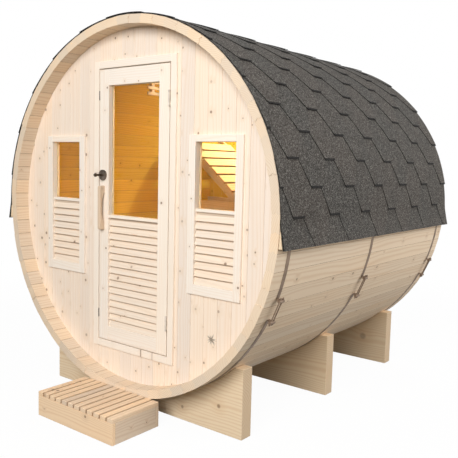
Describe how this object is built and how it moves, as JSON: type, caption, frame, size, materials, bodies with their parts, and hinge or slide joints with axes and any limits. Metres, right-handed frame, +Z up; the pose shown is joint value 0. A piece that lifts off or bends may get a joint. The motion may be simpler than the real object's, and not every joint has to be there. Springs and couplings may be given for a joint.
{
  "type": "outdoor barrel sauna",
  "caption": "Timber barrel sauna lying on cradles, held by steel hoops, with a shingled roof, a glazed louvred door that swings open, small windows and a slatted step.",
  "frame": {"origin": "on the ground, at the middle of the middle cradle's underside", "axes": "+Z up, -Y out through the door, +X to the right when facing the door from outside"},
  "size_m": [2.062, 2.3163, 2.1172],
  "materials": {
    "barrel_staves": "planed",
    "wall_boards": "planed",
    "joinery": "planed",
    "bronze_glass": "clear",
    "dark_metal": "satin",
    "shingles": "granular",
    "cradle_timber": "planed",
    "hoop_steel": "satin",
    "step_timber": "planed",
    "inside_boards": "planed"
  },
  "bodies": {
    "cabin": {"staves_right": "barrel_staves", "staves_upper_right": "barrel_staves", "staves_top": "barrel_staves", "staves_upper_left": "barrel_staves", "staves_left": "barrel_staves", "staves_lower_left": "barrel_staves", "staves_bottom": "barrel_staves", "staves_lower_right": "barrel_staves", "front_wall_left": "wall_boards", "front_wall_right": "wall_boards", "front_wall_head": "wall_boards", "front_wall_sill": "wall_boards", "back_wall": "wall_boards", "door_jambs": "joinery", "door_lintel": "joinery", "door_threshold": "joinery", "door_stops": "joinery", "window_casings": "joinery", "window_linings": "joinery", "window_louvres": "joinery", "window_glass": "bronze_glass", "hinge_frame_leaves": "hoop_steel", "roof_covering": "shingles", "eave_battens": "cradle_timber", "hoop_front": "hoop_steel", "hoop_middle": "hoop_steel", "hoop_rear": "hoop_steel", "cradle_front": "cradle_timber", "cradle_middle": "cradle_timber", "cradle_rear": "cradle_timber", "step_frame": "step_timber", "step_slats": "step_timber", "floor_deck": "inside_boards", "lounger_frames": "inside_boards", "lounger_slats": "inside_boards", "lamp_shade": "inside_boards"},
    "door": {"door_stiles": "joinery", "door_rails": "joinery", "door_louvre": "joinery", "door_handle": "joinery", "door_glass": "bronze_glass", "latch_rosette": "dark_metal", "hinge_door_leaves": "hoop_steel"},
    "latch": {"latch_knob": "dark_metal"}
  },
  "joints": [
    {"name": "door_swing", "type": "hinge", "parent": "cabin", "child": "door", "pos_m": [0.267, -0.944, 1.102], "axis": [0, 0, 1], "range_deg": [0, 110]},
    {"name": "latch_turn", "type": "hinge", "parent": "door", "child": "latch", "pos_m": [-0.233, -0.936, 1.279], "axis": [0, 1, 0], "range_deg": [0, 90]}
  ]
}
